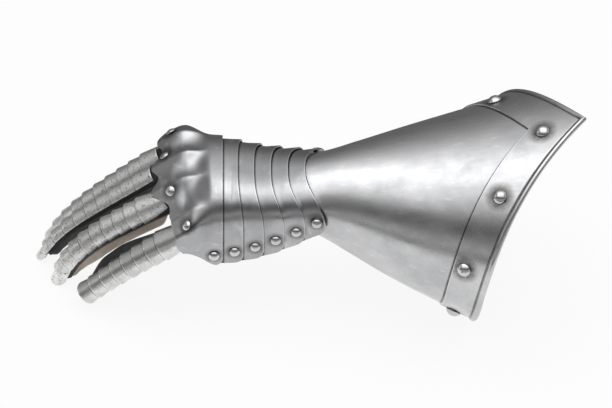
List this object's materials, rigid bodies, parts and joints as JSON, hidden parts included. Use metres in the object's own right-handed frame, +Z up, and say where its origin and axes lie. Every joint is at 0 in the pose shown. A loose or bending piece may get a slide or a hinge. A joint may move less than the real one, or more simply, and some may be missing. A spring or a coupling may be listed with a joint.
{
  "type": "plate gauntlet",
  "caption": "Articulated steel gauntlet for the left hand: flared pointed cuff, sliding wrist lames, embossed knuckle plate and scaled fingers on leather.",
  "frame": {"origin": "centre of the bounding box's base, on the surface that the gauntlet lies on", "axes": "+X from the fingertips to the cuff, +Z up, +Y to the thumb side"},
  "size_m": [0.3947, 0.1722, 0.1736],
  "materials": {
    "plate_steel": "satin",
    "scale_steel": "satin, finely pitted",
    "rivet_steel": "polished",
    "black_leather": "matt",
    "tan_leather": "matt"
  },
  "bodies": {
    "cuff": {"cuff_plate": "plate_steel", "cuff_border": "plate_steel", "cuff_border_rivets": "rivet_steel"},
    "lame_5": {"wrist_lame_5": "plate_steel", "wrist_rivets_6": "rivet_steel"},
    "lame_4": {"wrist_lame_4": "plate_steel", "wrist_rivets_5": "rivet_steel"},
    "lame_3": {"wrist_lame_3": "plate_steel", "wrist_rivets_4": "rivet_steel"},
    "lame_2": {"wrist_lame_2": "plate_steel", "wrist_rivets_3": "rivet_steel"},
    "lame_1": {"wrist_lame_1": "plate_steel", "wrist_rivets_2": "rivet_steel"},
    "hand": {"knuckle_plate": "plate_steel", "wrist_rivets_1": "rivet_steel", "knuckle_rivets": "rivet_steel", "finger_strips": "black_leather", "finger_stalls": "tan_leather", "glove_palm": "tan_leather"},
    "index_1": {"index_scale_1": "scale_steel"},
    "index_2": {"index_scale_2": "scale_steel"},
    "index_3": {"index_scale_3": "scale_steel"},
    "index_4": {"index_scale_4": "scale_steel"},
    "index_5": {"index_scale_5": "scale_steel"},
    "index_6": {"index_scale_6": "scale_steel"},
    "index_7": {"index_scale_7": "scale_steel"},
    "index_8": {"index_scale_8": "scale_steel"},
    "index_9": {"index_scale_9": "scale_steel"},
    "index_10": {"index_scale_10": "scale_steel"},
    "middle_1": {"middle_scale_1": "scale_steel"},
    "middle_2": {"middle_scale_2": "scale_steel"},
    "middle_3": {"middle_scale_3": "scale_steel"},
    "middle_4": {"middle_scale_4": "scale_steel"},
    "middle_5": {"middle_scale_5": "scale_steel"},
    "middle_6": {"middle_scale_6": "scale_steel"},
    "middle_7": {"middle_scale_7": "scale_steel"},
    "middle_8": {"middle_scale_8": "scale_steel"},
    "middle_9": {"middle_scale_9": "scale_steel"},
    "middle_10": {"middle_scale_10": "scale_steel"},
    "ring_1": {"ring_scale_1": "scale_steel"},
    "ring_2": {"ring_scale_2": "scale_steel"},
    "ring_3": {"ring_scale_3": "scale_steel"},
    "ring_4": {"ring_scale_4": "scale_steel"},
    "ring_5": {"ring_scale_5": "scale_steel"},
    "ring_6": {"ring_scale_6": "scale_steel"},
    "ring_7": {"ring_scale_7": "scale_steel"},
    "ring_8": {"ring_scale_8": "scale_steel"},
    "ring_9": {"ring_scale_9": "scale_steel"},
    "ring_10": {"ring_scale_10": "scale_steel"},
    "little_1": {"little_scale_1": "scale_steel"},
    "little_2": {"little_scale_2": "scale_steel"},
    "little_3": {"little_scale_3": "scale_steel"},
    "little_4": {"little_scale_4": "scale_steel"},
    "little_5": {"little_scale_5": "scale_steel"},
    "little_6": {"little_scale_6": "scale_steel"},
    "little_7": {"little_scale_7": "scale_steel"},
    "little_8": {"little_scale_8": "scale_steel"},
    "thumb_1": {"thumb_scale_1": "scale_steel"},
    "thumb_2": {"thumb_scale_2": "scale_steel"},
    "thumb_3": {"thumb_scale_3": "scale_steel"}
  },
  "joints": [
    {"name": "wrist_6", "type": "hinge", "parent": "cuff", "child": "lame_5", "pos_m": [0.00361, 0, 0.09214], "axis": [0, -1, 0], "range_deg": [-6, 6], "deforming": ["glove_palm"]},
    {"name": "wrist_5", "type": "hinge", "parent": "lame_5", "child": "lame_4", "pos_m": [-0.01099, 0, 0.08263], "axis": [0, -1, 0], "range_deg": [-6, 6]},
    {"name": "wrist_4", "type": "hinge", "parent": "lame_4", "child": "lame_3", "pos_m": [-0.02567, 0, 0.07497], "axis": [0, -1, 0], "range_deg": [-6, 6]},
    {"name": "wrist_3", "type": "hinge", "parent": "lame_3", "child": "lame_2", "pos_m": [-0.04043, 0, 0.06916], "axis": [0, -1, 0], "range_deg": [-6, 6]},
    {"name": "wrist_2", "type": "hinge", "parent": "lame_2", "child": "lame_1", "pos_m": [-0.05527, 0, 0.06518], "axis": [0, -1, 0], "range_deg": [-6, 6]},
    {"name": "wrist_1", "type": "hinge", "parent": "lame_1", "child": "hand", "pos_m": [-0.07019, 0, 0.06305], "axis": [0, -1, 0], "range_deg": [-6, 6]},
    {"name": "index_joint_1", "type": "hinge", "parent": "hand", "child": "index_1", "pos_m": [-0.10716, 0.034, 0.08443], "axis": [0, -1, 0], "range_deg": [-2, 13], "deforming": ["finger_strips", "finger_stalls"]},
    {"name": "index_joint_2", "type": "hinge", "parent": "index_1", "child": "index_2", "pos_m": [-0.11548, 0.034, 0.07675], "axis": [0, -1, 0], "range_deg": [-2, 13]},
    {"name": "index_joint_3", "type": "hinge", "parent": "index_2", "child": "index_3", "pos_m": [-0.1238, 0.034, 0.06906], "axis": [0, -1, 0], "range_deg": [-2, 13]},
    {"name": "index_joint_4", "type": "hinge", "parent": "index_3", "child": "index_4", "pos_m": [-0.1321, 0.034, 0.06134], "axis": [0, -1, 0], "range_deg": [-2, 13]},
    {"name": "index_joint_5", "type": "hinge", "parent": "index_4", "child": "index_5", "pos_m": [-0.14031, 0.034, 0.05354], "axis": [0, -1, 0], "range_deg": [-2, 13]},
    {"name": "index_joint_6", "type": "hinge", "parent": "index_5", "child": "index_6", "pos_m": [-0.14837, 0.034, 0.04557], "axis": [0, -1, 0], "range_deg": [-2, 13]},
    {"name": "index_joint_7", "type": "hinge", "parent": "index_6", "child": "index_7", "pos_m": [-0.15617, 0.034, 0.03735], "axis": [0, -1, 0], "range_deg": [-2, 13]},
    {"name": "index_joint_8", "type": "hinge", "parent": "index_7", "child": "index_8", "pos_m": [-0.16357, 0.034, 0.02877], "axis": [0, -1, 0], "range_deg": [-2, 13]},
    {"name": "index_joint_9", "type": "hinge", "parent": "index_8", "child": "index_9", "pos_m": [-0.17037, 0.034, 0.01971], "axis": [0, -1, 0], "range_deg": [-2, 13]},
    {"name": "index_joint_10", "type": "hinge", "parent": "index_9", "child": "index_10", "pos_m": [-0.17633, 0.034, 0.01008], "axis": [0, -1, 0], "range_deg": [-2, 13]},
    {"name": "middle_joint_1", "type": "hinge", "parent": "hand", "child": "middle_1", "pos_m": [-0.11226, 0.012, 0.08671], "axis": [0, -1, 0], "range_deg": [-2, 13], "deforming": ["finger_strips", "finger_stalls"]},
    {"name": "middle_joint_2", "type": "hinge", "parent": "middle_1", "child": "middle_2", "pos_m": [-0.12093, 0.012, 0.07907], "axis": [0, -1, 0], "range_deg": [-2, 13]},
    {"name": "middle_joint_3", "type": "hinge", "parent": "middle_2", "child": "middle_3", "pos_m": [-0.12959, 0.012, 0.07143], "axis": [0, -1, 0], "range_deg": [-2, 13]},
    {"name": "middle_joint_4", "type": "hinge", "parent": "middle_3", "child": "middle_4", "pos_m": [-0.13824, 0.012, 0.06378], "axis": [0, -1, 0], "range_deg": [-2, 13]},
    {"name": "middle_joint_5", "type": "hinge", "parent": "middle_4", "child": "middle_5", "pos_m": [-0.14685, 0.012, 0.05609], "axis": [0, -1, 0], "range_deg": [-2, 13]},
    {"name": "middle_joint_6", "type": "hinge", "parent": "middle_5", "child": "middle_6", "pos_m": [-0.15535, 0.012, 0.04827], "axis": [0, -1, 0], "range_deg": [-2, 13]},
    {"name": "middle_joint_7", "type": "hinge", "parent": "middle_6", "child": "middle_7", "pos_m": [-0.16362, 0.012, 0.0402], "axis": [0, -1, 0], "range_deg": [-2, 13]},
    {"name": "middle_joint_8", "type": "hinge", "parent": "middle_7", "child": "middle_8", "pos_m": [-0.17143, 0.012, 0.03169], "axis": [0, -1, 0], "range_deg": [-2, 13]},
    {"name": "middle_joint_9", "type": "hinge", "parent": "middle_8", "child": "middle_9", "pos_m": [-0.17845, 0.012, 0.02252], "axis": [0, -1, 0], "range_deg": [-2, 13]},
    {"name": "middle_joint_10", "type": "hinge", "parent": "middle_9", "child": "middle_10", "pos_m": [-0.18415, 0.012, 0.01247], "axis": [0, -1, 0], "range_deg": [-2, 13]},
    {"name": "ring_joint_1", "type": "hinge", "parent": "hand", "child": "ring_1", "pos_m": [-0.111, -0.01, 0.08076], "axis": [0, -1, 0], "range_deg": [-2, 13], "deforming": ["finger_strips", "finger_stalls"]},
    {"name": "ring_joint_2", "type": "hinge", "parent": "ring_1", "child": "ring_2", "pos_m": [-0.11941, -0.01, 0.07431], "axis": [0, -1, 0], "range_deg": [-2, 13]},
    {"name": "ring_joint_3", "type": "hinge", "parent": "ring_2", "child": "ring_3", "pos_m": [-0.1278, -0.01, 0.06783], "axis": [0, -1, 0], "range_deg": [-2, 13]},
    {"name": "ring_joint_4", "type": "hinge", "parent": "ring_3", "child": "ring_4", "pos_m": [-0.13612, -0.01, 0.06126], "axis": [0, -1, 0], "range_deg": [-2, 13]},
    {"name": "ring_joint_5", "type": "hinge", "parent": "ring_4", "child": "ring_5", "pos_m": [-0.14425, -0.01, 0.05446], "axis": [0, -1, 0], "range_deg": [-2, 13]},
    {"name": "ring_joint_6", "type": "hinge", "parent": "ring_5", "child": "ring_6", "pos_m": [-0.15207, -0.01, 0.0473], "axis": [0, -1, 0], "range_deg": [-2, 13]},
    {"name": "ring_joint_7", "type": "hinge", "parent": "ring_6", "child": "ring_7", "pos_m": [-0.15938, -0.01, 0.03963], "axis": [0, -1, 0], "range_deg": [-2, 13]},
    {"name": "ring_joint_8", "type": "hinge", "parent": "ring_7", "child": "ring_8", "pos_m": [-0.16594, -0.01, 0.0313], "axis": [0, -1, 0], "range_deg": [-2, 13]},
    {"name": "ring_joint_9", "type": "hinge", "parent": "ring_8", "child": "ring_9", "pos_m": [-0.17142, -0.01, 0.02223], "axis": [0, -1, 0], "range_deg": [-2, 13]},
    {"name": "ring_joint_10", "type": "hinge", "parent": "ring_9", "child": "ring_10", "pos_m": [-0.17544, -0.01, 0.01242], "axis": [0, -1, 0], "range_deg": [-2, 13]},
    {"name": "little_joint_1", "type": "hinge", "parent": "hand", "child": "little_1", "pos_m": [-0.09608, -0.035, 0.07141], "axis": [0, -1, 0], "range_deg": [-2, 13], "deforming": ["finger_strips", "finger_stalls"]},
    {"name": "little_joint_2", "type": "hinge", "parent": "little_1", "child": "little_2", "pos_m": [-0.10449, -0.035, 0.06471], "axis": [0, -1, 0], "range_deg": [-2, 13]},
    {"name": "little_joint_3", "type": "hinge", "parent": "little_2", "child": "little_3", "pos_m": [-0.11275, -0.035, 0.05783], "axis": [0, -1, 0], "range_deg": [-2, 13]},
    {"name": "little_joint_4", "type": "hinge", "parent": "little_3", "child": "little_4", "pos_m": [-0.12085, -0.035, 0.05077], "axis": [0, -1, 0], "range_deg": [-2, 13]},
    {"name": "little_joint_5", "type": "hinge", "parent": "little_4", "child": "little_5", "pos_m": [-0.12879, -0.035, 0.04352], "axis": [0, -1, 0], "range_deg": [-2, 13]},
    {"name": "little_joint_6", "type": "hinge", "parent": "little_5", "child": "little_6", "pos_m": [-0.13657, -0.035, 0.0361], "axis": [0, -1, 0], "range_deg": [-2, 13]},
    {"name": "little_joint_7", "type": "hinge", "parent": "little_6", "child": "little_7", "pos_m": [-0.14418, -0.035, 0.02851], "axis": [0, -1, 0], "range_deg": [-2, 13]},
    {"name": "little_joint_8", "type": "hinge", "parent": "little_7", "child": "little_8", "pos_m": [-0.15162, -0.035, 0.02075], "axis": [0, -1, 0], "range_deg": [-2, 13]},
    {"name": "thumb_joint_1", "type": "hinge", "parent": "hand", "child": "thumb_1", "pos_m": [-0.061, 0.053, 0.05893], "axis": [-0.7111, -0.4074, 0.5731], "range_deg": [-4, 12], "deforming": ["finger_strips", "finger_stalls"]},
    {"name": "thumb_joint_2", "type": "hinge", "parent": "thumb_1", "child": "thumb_2", "pos_m": [-0.07146, 0.05762, 0.04923], "axis": [-0.7111, -0.4074, 0.5731], "range_deg": [-4, 12]},
    {"name": "thumb_joint_3", "type": "hinge", "parent": "thumb_2", "child": "thumb_3", "pos_m": [-0.08143, 0.05946, 0.03817], "axis": [-0.7111, -0.4074, 0.5731], "range_deg": [-4, 12]}
  ],
  "couplings": [
    {"joint": "wrist_5", "follows": "wrist_6", "ratio": 1},
    {"joint": "wrist_4", "follows": "wrist_6", "ratio": 1},
    {"joint": "wrist_3", "follows": "wrist_6", "ratio": 1},
    {"joint": "wrist_2", "follows": "wrist_6", "ratio": 1},
    {"joint": "wrist_1", "follows": "wrist_6", "ratio": 1},
    {"joint": "index_joint_2", "follows": "index_joint_1", "ratio": 1},
    {"joint": "index_joint_3", "follows": "index_joint_1", "ratio": 1},
    {"joint": "index_joint_4", "follows": "index_joint_1", "ratio": 1},
    {"joint": "index_joint_5", "follows": "index_joint_1", "ratio": 1},
    {"joint": "index_joint_6", "follows": "index_joint_1", "ratio": 1},
    {"joint": "index_joint_7", "follows": "index_joint_1", "ratio": 1},
    {"joint": "index_joint_8", "follows": "index_joint_1", "ratio": 1},
    {"joint": "index_joint_9", "follows": "index_joint_1", "ratio": 1},
    {"joint": "index_joint_10", "follows": "index_joint_1", "ratio": 1},
    {"joint": "middle_joint_2", "follows": "middle_joint_1", "ratio": 1},
    {"joint": "middle_joint_3", "follows": "middle_joint_1", "ratio": 1},
    {"joint": "middle_joint_4", "follows": "middle_joint_1", "ratio": 1},
    {"joint": "middle_joint_5", "follows": "middle_joint_1", "ratio": 1},
    {"joint": "middle_joint_6", "follows": "middle_joint_1", "ratio": 1},
    {"joint": "middle_joint_7", "follows": "middle_joint_1", "ratio": 1},
    {"joint": "middle_joint_8", "follows": "middle_joint_1", "ratio": 1},
    {"joint": "middle_joint_9", "follows": "middle_joint_1", "ratio": 1},
    {"joint": "middle_joint_10", "follows": "middle_joint_1", "ratio": 1},
    {"joint": "ring_joint_2", "follows": "ring_joint_1", "ratio": 1},
    {"joint": "ring_joint_3", "follows": "ring_joint_1", "ratio": 1},
    {"joint": "ring_joint_4", "follows": "ring_joint_1", "ratio": 1},
    {"joint": "ring_joint_5", "follows": "ring_joint_1", "ratio": 1},
    {"joint": "ring_joint_6", "follows": "ring_joint_1", "ratio": 1},
    {"joint": "ring_joint_7", "follows": "ring_joint_1", "ratio": 1},
    {"joint": "ring_joint_8", "follows": "ring_joint_1", "ratio": 1},
    {"joint": "ring_joint_9", "follows": "ring_joint_1", "ratio": 1},
    {"joint": "ring_joint_10", "follows": "ring_joint_1", "ratio": 1},
    {"joint": "little_joint_2", "follows": "little_joint_1", "ratio": 1},
    {"joint": "little_joint_3", "follows": "little_joint_1", "ratio": 1},
    {"joint": "little_joint_4", "follows": "little_joint_1", "ratio": 1},
    {"joint": "little_joint_5", "follows": "little_joint_1", "ratio": 1},
    {"joint": "little_joint_6", "follows": "little_joint_1", "ratio": 1},
    {"joint": "little_joint_7", "follows": "little_joint_1", "ratio": 1},
    {"joint": "little_joint_8", "follows": "little_joint_1", "ratio": 1},
    {"joint": "thumb_joint_2", "follows": "thumb_joint_1", "ratio": 1},
    {"joint": "thumb_joint_3", "follows": "thumb_joint_1", "ratio": 1}
  ]
}
